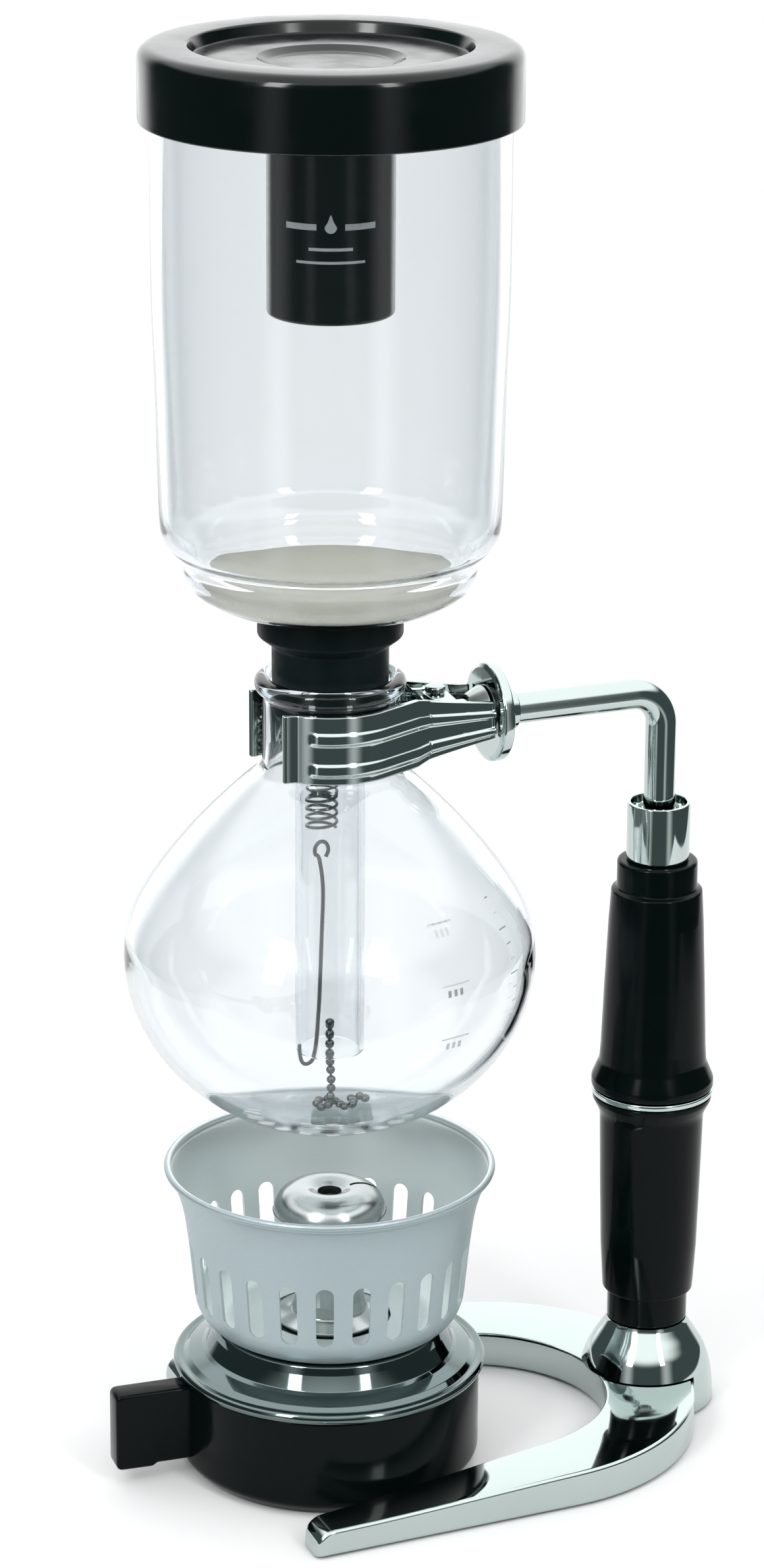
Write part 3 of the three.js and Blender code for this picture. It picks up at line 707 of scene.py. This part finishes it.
def base():
    outer, inner = edge_points(OUTER_EDGE), edge_points(INNER_EDGE)
    corner, nose, rings = 1.8, 4.6, 6
    vertices, faces = [], []
    for (ox, oy), (ix, iy) in zip(outer, inner):
        across = Vector((ix - ox, iy - oy))
        width = across.length
        across.normalize()
        depth = max(0.0, min(corner, (ox + ix) / 2 - TIP_X))
        drawn = corner - math.sqrt(max(0.0, corner ** 2 - (corner - depth) ** 2))
        low = 0.6
        climb = min(1.0, max(0.0, ((ox + ix) / 2 - TIP_X) / (64 - TIP_X)))
        top = 7 + 2.8 * climb * climb * (3 - 2 * climb)
        back = min(1.0, max(0.0, ((ox + ix) / 2 - TIP_X) / nose))
        top -= 5 * (1 - math.sqrt(1 - (1 - back) ** 2))
        edge = min(1.0, 0.49 * (top - low))
        left, right = drawn, width - drawn
        section = []
        for cx, cz, first in ((left + edge, low + edge, 180), (right - edge, low + edge, 270),
                              (right - edge, top - edge, 0), (left + edge, top - edge, 90)):
            for k in range(rings + 1):
                angle = math.radians(first + 90 * k / rings)
                section.append((cx + edge * math.cos(angle), cz + edge * math.sin(angle)))
        for along, z in section:
            vertices.append((BOWL_X + ox + across.x * along, BOWL_Y + oy + across.y * along, z))
    count = 4 * (rings + 1)
    for i in range(len(outer) - 1):
        for k in range(count):
            n = (k + 1) % count
            faces.append((i * count + k, i * count + n, (i + 1) * count + n, (i + 1) * count + k))
    faces.append(tuple(range(count)))
    faces.append(tuple(range((len(outer) - 1) * count, len(outer) * count)))
    show(build("base_bar", CHROME, vertices, faces, 50), "stand", "chrome", "base")


def pads():
    for i in range(1, 5):
        at = middle(f"foot_pad_{i}")
        outline = fillet([(0, 0), (3.4, 0, 0.3), (3.4, 1.6), (0, 1.6)], closed=False)
        place = (at.x / MM - BOWL_X, at.y / MM - BOWL_Y)
        piece = lathe(f"rest_pad_{i}", RUBBER, outline, place, 40)
        show(piece, "stand", "black_rubber", f"foot_pad_{i}")


def foot():
    bell = [(0, 0.9)] + smooth_line([
        (17, 0.9), (16.9, 3.2), (16.7, 6.2), (16.2, 9.4), (15.4, 12.2), (14.3, 14.8),
        (12.8, 17.3), (11.3, 19.6), (10.2, 21.4),
    ], 5) + [(9.9, 22.2), (0, 22.2)]
    piece = on_handle("foot_bell", CHROME, bell, 128)
    ring = [(43 + 51.1 * math.cos(TURN * k / 240), 51.1 * math.sin(TURN * k / 240))
            for k in range(240)]
    cutter = prism("cutter", CHROME, ring, -5, 10.1, 0, "stand", "chrome")
    carve(piece, cutter)
    show(piece, "stand", "chrome", "handle_foot")


# ---- clamp ----
def jaw_line():
    """The inner line of a jaw on the +Y side, from its flared tip to the end of its tail."""
    crease = (20.6, 8.4)
    leaves = math.atan2(crease[1], crease[0]) + math.acos(16.2 / math.hypot(*crease))
    line = []
    for k in range(49):
        angle = math.radians(148) + (leaves - math.radians(148)) * k / 48
        back = math.degrees(angle) - 136
        radius = 16.2 + (2.6 * (back / 12) ** 2 if back > 0 else 0)
        line.append((radius * math.cos(angle), radius * math.sin(angle)))
    last = line[-1]
    line += [(last[0] + (crease[0] - last[0]) * k / 12, last[1] + (crease[1] - last[1]) * k / 12)
             for k in range(1, 12)]
    line += smooth_line([(20, 8.68), crease, (21.4, 8.28)], 3)
    line += [(21.4 + 17 * k / 20, 8.28 - 1.38 * k / 20) for k in range(1, 21)]
    return line


def jaw(side, name, body, node):
    line = jaw_line()
    rows = 44
    low, high = 177.9, 194.3
    centre = (low + high) / 2
    lengths = [0.0]
    for a, b in zip(line, line[1:]):
        lengths.append(lengths[-1] + math.dist(a, b))

    def step(t):
        t = min(1.0, max(0.0, t))
        return t * t * (3 - 2 * t)

    inner, outer = [], []
    for i, (x, y) in enumerate(line):
        a, b = line[max(i - 1, 0)], line[min(i + 1, len(line) - 1)]
        along = Vector((b[0] - a[0], b[1] - a[1])).normalized()
        out = Vector((along.y, -along.x))
        if out.dot(Vector((x - 8, y))) < 0:
            out = -out
        taper = 1 - 0.46 * min(1.0, max(0.0, (x - 17) / 21.4)) ** 0.8
        starts = step((lengths[i] - 6.5) / 2.5)
        for j in range(rows + 1):
            z = low + (high - low) * j / rows
            rib = sum(step((1.75 - abs(z - c)) / 0.8) for c in (181.4, 188.85))
            push = 0.62 * rib * starts
            height = centre + (z - centre) * taper
            for skin, reach in ((inner, 0.3 * push), (outer, 1.5 + push)):
                skin.append((BOWL_X + x + out.x * reach,
                             BOWL_Y + side * (y + out.y * reach), height))
    count, across = len(line), rows + 1
    vertices = inner + outer
    shift = len(inner)
    faces = []
    for i in range(count - 1):
        for j in range(rows):
            a, b = i * across + j, (i + 1) * across + j
            faces.append((a, b, b + 1, a + 1))
            faces.append((shift + a, shift + a + 1, shift + b + 1, shift + b))
        for j in (0, rows):
            a, b = i * across + j, (i + 1) * across + j
            faces.append((a, b, shift + b, shift + a))
    for i in (0, count - 1):
        for j in range(rows):
            a = i * across + j
            faces.append((a, a + 1, shift + a + 1, shift + a))
    piece = build(name, CHROME, vertices, faces, 50)
    form = bmesh.new()
    form.from_mesh(piece.data)
    rims = [e for e in form.edges if not e.smooth]
    bmesh.ops.bevel(form, geom=rims, offset=0.35 * MM, segments=2, profile=0.5, affect="EDGES")
    shade(form, 50)
    form.to_mesh(piece.data)
    form.free()
    show(piece, body, "chrome", node)
    ears = ((180.2, 181.4), (190.8, 192)) if side < 0 else ((181.7, 182.9), (189.3, 190.5))
    for i, (bottom, top) in enumerate(ears):
        outline = [(PIVOT_X + 3 * math.cos(a), -side * 3 * math.sin(a))
                   for a in (math.pi * k / 20 for k in range(21))]
        outline += [(PIVOT_X - 2.4, side * 8.1), (PIVOT_X + 2.4, side * 8.1)]
        prism(f"{name}_ear_{i + 1}", CHROME, outline, bottom, top, 0.2, body, "chrome")


def pin():
    outline = fillet([
        (0, 178.5), (2.1, 178.5, 0.8), (2.1, 179.9), (1.3, 179.9), (1.3, 192.3), (2.4, 192.3),
        (2.4, 193.7, 0.9), (0, 193.7),
    ], closed=False)
    rivet = lathe("pivot_rivet", STEEL, outline, (PIVOT_X, 0), 40)
    show(rivet, "stand", "steel", "clamp_pivot_pin")


def on_arm(name, made, outline, segments=96):
    """A turned piece about the arm: profile is [radius, place along the arm]."""
    piece = lathe(name, made, outline, (0, 0), segments)
    for v in piece.data.vertices:
        x, y, z = v.co.x - BOWL_X * MM, v.co.y - BOWL_Y * MM, v.co.z
        v.co = Vector((BOWL_X * MM + z, BOWL_Y * MM + y, ARM_Z * MM - x))
    return piece


def nut():
    wedge = fillet([(4.05, 34.5), (4.7, 34.5, 0.3), (6.7, 38.7, 0.3), (4.05, 38.7)])
    show(on_arm("cone_wedge", STEEL, wedge, 64), "clamp_wedge", "steel", "clamp_wedge")
    disc = fillet([
        (4.05, 39), (10.6, 39, 0.3), (11.9, 39.5, 0.7), (11.9, 42, 0.7), (10.6, 42.5, 0.4),
        (5.2, 42.5, 0.5), (4.8, 46.6, 0.4), (4.05, 46.6),
    ])
    show(on_arm("round_nut", CHROME, disc), "clamp_nut", "chrome", "clamp_nut")


# ---- lamp ----
def lamp():
    shell = fillet([
        (0, 0), (33, 0, 1), (36.4, 3.2, 3), (36.4, 24.9, 0.5), (34.8, 24.9), (34.8, 4), (33, 2.6),
        (0, 2.6),
    ], closed=False)
    piece = lathe("lamp_shell", BLACK, shell, segments=128)
    side = fillet([
        (-35.2, 5, 0), (-44.4, 5, 1), (-45.6, 4.2, 1), (-54.6, 4.2, 1.6), (-54.6, 23.8, 1.8),
        (-35.2, 24, 0),
    ], steps=4)
    count = len(side)
    vertices = [(BOWL_X + x, BOWL_Y + y, z) for y in (-3.5, 3.5) for x, z in side]
    faces = [tuple(range(count)), tuple(reversed(range(count, 2 * count)))]
    faces += [(i, count + i, count + (i + 1) % count, (i + 1) % count) for i in range(count)]
    tab = build("tab", BLACK, vertices, faces)
    form = bmesh.new()
    form.from_mesh(tab.data)
    rims = [e for e in form.edges if abs(e.verts[0].co.y - e.verts[1].co.y) < 1e-7]
    bmesh.ops.bevel(form, geom=rims, offset=0.8 * MM, segments=4, profile=0.5, affect="EDGES")
    bmesh.ops.rotate(form, verts=form.verts, cent=(BOWL_X * MM, BOWL_Y * MM, 0),
                     matrix=Matrix.Rotation(math.radians(-4.5), 3, "Z"))
    form.to_mesh(tab.data)
    form.free()
    carve(piece, tab, "UNION")
    show(piece, "lamp", "black_plastic", "lamp_casing")
    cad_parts["lamp_tank"].data.materials[0] = BRASS
    shoulder = fillet([
        (10.4, 34.7), (26.2, 34.7, 0.6), (27.2, 33.2, 1), (29.2, 29.5, 0.8), (33.4, 27.4, 1),
        (34.5, 25.2, 0.4), (37.4, 25.2, 0.7), (38, 26.4, 1), (37.3, 27.8, 0.8), (35.6, 27.3, 0.8),
        (34.2, 28.4, 1), (31, 29.6, 0.6), (30, 30.2, 0.5), (28.2, 33.6, 1), (27.5, 35.7, 0.9),
        (10.4, 35.7),
    ], steps=6)
    # The collar uses the chrome painted dark, a painted reflection.
    show(lathe("lamp_collar", CHROME_PAINTED_DARK, shoulder, segments=128), "lamp", "chrome", "lamp_shoulder")


def wick_parts():
    dome = smooth_line([
        (13.5, 65.6), (13.2, 66.7), (12.3, 68.3), (10.8, 69.6), (8.6, 70.5), (6.4, 70.7),
        (4.7, 70.3), (3.5, 69.7),
    ], 5)
    outline = fillet([
        (2.9, 31), (10.1, 31, 0.3), (10.1, 36), (13.4, 36, 0.3), (13.4, 37.6, 0.5), (8.9, 39, 1),
        (8.4, 42, 1), (8.4, 59, 2), (13.6, 63.8, 0.6), (13.8, 64.9, 0.3),
    ]) + dome + [(2.9, 69.4)]
    piece = lathe("wick_dome", STEEL, outline, segments=96)
    angle = math.radians(12) - STAND_TURN
    reach = Vector((math.cos(angle), math.sin(angle)))
    across = Vector((-reach.y, reach.x))
    slit = [reach * 5 + across * 0.5, reach * 5 - across * 0.5, reach * 11.4 - across * 0.5,
            reach * 11.4 + across * 0.5]
    cutter = prism("slit", CHROME, [tuple(p) for p in slit], 65.8, 75, 0, "wick_holder", "chrome")
    carve(piece, cutter)
    show(piece, "wick_holder", "chrome", "wick_holder")
    wick = fillet([(0, 5), (2.5, 5), (2.5, 67, 1), (1.2, 68.2, 0.8), (0, 68.2)], closed=False)
    show(lathe("wick_rope", WICK, wick, segments=32), "wick", "cotton", "wick")


def wind_screen():
    wall = smooth_line([
        (27, 36.3), (29.4, 37.7), (31.2, 39.6), (32.2, 41.8), (32.7, 44), (33.3, 50), (33.9, 56),
        (34.4, 60), (35, 64.2), (35.8, 68), (36.9, 71.5), (38.1, 74.1), (38.8, 75.1),
    ], 4)
    roll = [(38.95 + 0.85 * math.cos(a), 76.5 + 0.85 * math.sin(a))
            for a in (math.radians(-90 + 300 * k / 14) for k in range(15))]
    floor = [(14.9, 36.3), (19, 36.3), (23, 36.3)]
    line = floor + wall + roll

    def radius_at(z):
        for (r0, z0), (r1, z1) in zip(wall, wall[1:]):
            if z0 <= z <= z1:
                return r0 + (r1 - r0) * (z - z0) / (z1 - z0)
        return wall[-1][0]

    slots, per = 24, 8
    wide = TURN / slots
    phase = math.radians(-90 + 6.3)
    band = (41.8, 60.0)
    below = [p for p in line if p[1] <= band[0] and p[0] < 34] + [(radius_at(band[0]), band[0])]
    above = [(radius_at(band[1]), band[1])] + [p for p in line if p[1] > band[1]]
    vertices, faces = [], []

    def put(angle, r, z):
        vertices.append((BOWL_X + r * math.cos(angle), BOWL_Y + r * math.sin(angle), z))
        return len(vertices) - 1

    total = slots * per
    for part in (below, above):
        start = len(vertices)
        for i in range(total):
            angle = phase - wide / 2 + TURN * i / total
            for r, z in part:
                put(angle, r, z)
        n = len(part)
        for i in range(total):
            j = (i + 1) % total
            for k in range(n - 1):
                a, b = start + i * n + k, start + j * n + k
                faces.append((a, b, b + 1, a + 1))
    half_u, (z0, z1) = wide / 2, band
    tall = 16
    frame_ring = [(-half_u + wide * k / per, z0) for k in range(per)]
    frame_ring += [(half_u, z0 + (z1 - z0) * k / tall) for k in range(tall)]
    frame_ring += [(half_u - wide * k / per, z1) for k in range(per)]
    frame_ring += [(-half_u, z1 - (z1 - z0) * k / tall) for k in range(tall)]
    half = 2.15
    slot_low, slot_high = 43.2 + half, 58.8 - half
    mean = 33.5
    hole = []
    for u, z in frame_ring:
        spot = Vector((u * mean, z))
        core = Vector((0, min(slot_high, max(slot_low, 51 + (z - 51) * 0.8))))
        if z0 < z < z1:
            core.y = min(slot_high, max(slot_low, z))
        away = (spot - core).normalized() if (spot - core).length else Vector((1, 0))
        hole.append((core + away * half))
    rings = 4
    for i in range(slots):
        centre = phase + wide * i
        grid = []
        for k in range(rings + 1):
            t = k / rings
            ring = []
            for (u, z), h in zip(frame_ring, hole):
                uu = (1 - t) * u + t * h.x / mean
                zz = (1 - t) * z + t * h.y
                ring.append(put(centre + uu, radius_at(zz), zz))
            grid.append(ring)
        count = len(frame_ring)
        for a, b in zip(grid, grid[1:]):
            for k in range(count):
                n = (k + 1) % count
                faces.append((a[k], a[n], b[n], b[k]))
    piece = build("slotted_screen", SATIN, vertices, faces, 60)
    thick = piece.modifiers.new("thick", "SOLIDIFY")
    thick.thickness = 0.7 * MM
    thick.offset = -1 if piece.data.polygons[0].normal.z < 0 else 1
    bpy.context.view_layer.update()
    evaluated = piece.evaluated_get(bpy.context.evaluated_depsgraph_get())
    mesh = bpy.data.meshes.new_from_object(evaluated)
    piece.modifiers.clear()
    piece.data = mesh
    show(piece, "wind_screen", "satin_aluminium", "wind_screen")


# ---- graduation marks on the lower bowl: level lines and small ticks, with no lettering ----
def bulb_radius(z):
    if z <= BULB_Z:
        return BULB_RADIUS * math.sqrt(max(0.0, 1 - ((BULB_Z - z) / BULB_DROP) ** 2))
    for (r0, z0), (r1, z1) in zip(BULB_SHOULDER, BULB_SHOULDER[1:]):
        if z0 <= z <= z1:
            return r0 + (r1 - r0) * (z - z0) / (z1 - z0)
    return 15.9


def bulb_marks():
    marks = []
    facing = math.radians(37 - 90) - STAND_TURN
    for level in (150, 137, 124):
        marks.append((facing - 0.08, facing + 0.08, level, level + 0.35))
        for k in range(3):
            left = facing - 0.05 + 0.035 * k
            marks.append((left, left + 0.018, level - 2.6, level - 1))
    right = math.radians(62 - 90) - STAND_TURN
    for k in range(9):
        long = 0.07 if k % 3 == 0 else 0.04
        marks.append((right - long / 2, right + long / 2, 124 + 3.4 * k, 124.3 + 3.4 * k))
    vertices, faces = [], []
    for start, end, low, high in marks:
        first = len(vertices)
        for k in range(7):
            angle = start + (end - start) * k / 6
            for z in (low, high):
                for lift in (0.03, 0.07):
                    r = bulb_radius(z) + lift
                    vertices.append((BOWL_X + r * math.cos(angle), BOWL_Y + r * math.sin(angle), z))
        for k in range(6):
            a, b = first + 4 * k, first + 4 * (k + 1)
            for p, q in ((0, 1), (1, 3), (3, 2), (2, 0)):
                faces.append((a + p, a + q, b + q, b + p))
        faces.append((first, first + 1, first + 3, first + 2))
        last = first + 24
        faces.append((last, last + 2, last + 3, last + 1))
    show(build("level_marks", PRINT, vertices, faces), "stand", "clear_glass")


lid()
lid_mark()
upper_bowl()
lower_bowl()
bulb_marks()
gasket()
filter_parts()
spring()
hook()
chain()
handle()
arm()
base()
pads()
foot()
jaw(-1, "jaw_front_sheet", "jaw_front", "clamp_jaw_front")
jaw(1, "jaw_rear_sheet", "jaw_rear", "clamp_jaw_rear")
pin()
nut()
lamp()
wick_parts()
wind_screen()
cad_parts["tie_bolt"].data.materials[0] = STEEL


# ---- studio ----
def sky():
    """Bright overhead and behind the coffee maker; dim in front, but for two upright strips."""
    world = bpy.data.worlds.new("studio")
    world.use_nodes = True
    nodes, links = world.node_tree.nodes, world.node_tree.links
    direction = nodes.new("ShaderNodeTexCoord").outputs["Generated"]
    parts = nodes.new("ShaderNodeSeparateXYZ")
    links.new(direction, parts.inputs["Vector"])

    def maths(kind, operation, *inputs):
        """Adds a maths node. Its inputs are numbers, vectors or other nodes' outputs."""
        made = nodes.new(kind)
        made.operation = operation
        for socket, value in zip(made.inputs, inputs):
            if isinstance(value, bpy.types.NodeSocket):
                links.new(value, socket)
            else:
                socket.default_value = value
        return made.outputs["Value"]

    def fade(value, start, end, most=1.0):
        made = nodes.new("ShaderNodeMapRange")
        made.interpolation_type = "SMOOTHSTEP"
        made.inputs["From Min"].default_value = start
        made.inputs["From Max"].default_value = end
        made.inputs["To Max"].default_value = most
        links.new(value, made.inputs["Value"])
        return made.outputs["Result"]

    heading = math.radians(90) - STAND_TURN     # the way the camera looks
    away = (math.cos(heading), math.sin(heading), 0)
    across = (math.sin(heading), -math.cos(heading), 0)
    strip_place, strip_reach, strip_strength = 0.56, 0.2, 0.36
    overhead = fade(parts.outputs["Z"], 0.38, 0.62)
    backdrop = fade(maths("ShaderNodeVectorMath", "DOT_PRODUCT", direction, away), 0.62, 0.84)
    sideways = maths("ShaderNodeMath", "ABSOLUTE",
                     maths("ShaderNodeVectorMath", "DOT_PRODUCT", direction, across))
    distance = maths("ShaderNodeMath", "ABSOLUTE",
                     maths("ShaderNodeMath", "SUBTRACT", sideways, strip_place))
    strips = fade(distance, strip_reach, 0.0, strip_strength)
    brighter = maths("ShaderNodeMath", "MAXIMUM", overhead, backdrop)
    bright = maths("ShaderNodeMath", "MAXIMUM", brighter, strips)
    blend = nodes.new("ShaderNodeMix")
    blend.data_type = "RGBA"
    blend.inputs["A"].default_value = (0.075, 0.10, 0.10, 1)
    blend.inputs["B"].default_value = (1.72, 1.73, 1.74, 1)
    links.new(bright, blend.inputs["Factor"])
    links.new(blend.outputs["Result"], nodes["Background"].inputs["Color"])
    bpy.context.scene.world = world


def panel(name, place, aim, size, power):
    light = bpy.data.lights.new(name, "AREA")
    light.shape = "RECTANGLE"
    light.size, light.size_y = size
    light.energy = power
    thing = bpy.data.objects.new(name, light)
    thing.location = place
    thing.rotation_euler = (Vector(aim) - Vector(place)).to_track_quat("-Z", "Y").to_euler()
    bpy.context.scene.collection.objects.link(thing)


def pale_floor():
    made = material("pale_floor", (0.72, 0.72, 0.72), 0.9, 0.0, Specular_IOR_Level=0.0)
    wire_up(made, mix(made, noise(made, 8), (0.71, 0.71, 0.71), (0.73, 0.73, 0.73)), "Base Color")
    return made


def studio():
    """A pale table, square to the camera. Its front edge is near, so that metal low down
    reflects the dim part of the sky in front of it."""
    wide, front, back = 0.9, -0.22, 3.0
    centre = (front + back) / 2
    bpy.ops.mesh.primitive_plane_add(
        size=1,
        location=(centre * math.sin(STAND_TURN), centre * math.cos(STAND_TURN), 0),
        rotation=(0, 0, -STAND_TURN),
    )
    floor = bpy.context.object
    floor.scale = (wide, back - front, 1)
    floor.name = "floor"
    floor.data.materials.append(pale_floor())
    panel("left_window", (-0.95, -0.65, 0.85), (0, 0, 0.2), (0.26, 0.6), 7)
    panel("right_window", (0.25, -1.15, 0.85), (0, 0, 0.2), (0.2, 0.55), 4)
    sky()
    bpy.context.scene.view_settings.view_transform = "Standard"


studio()
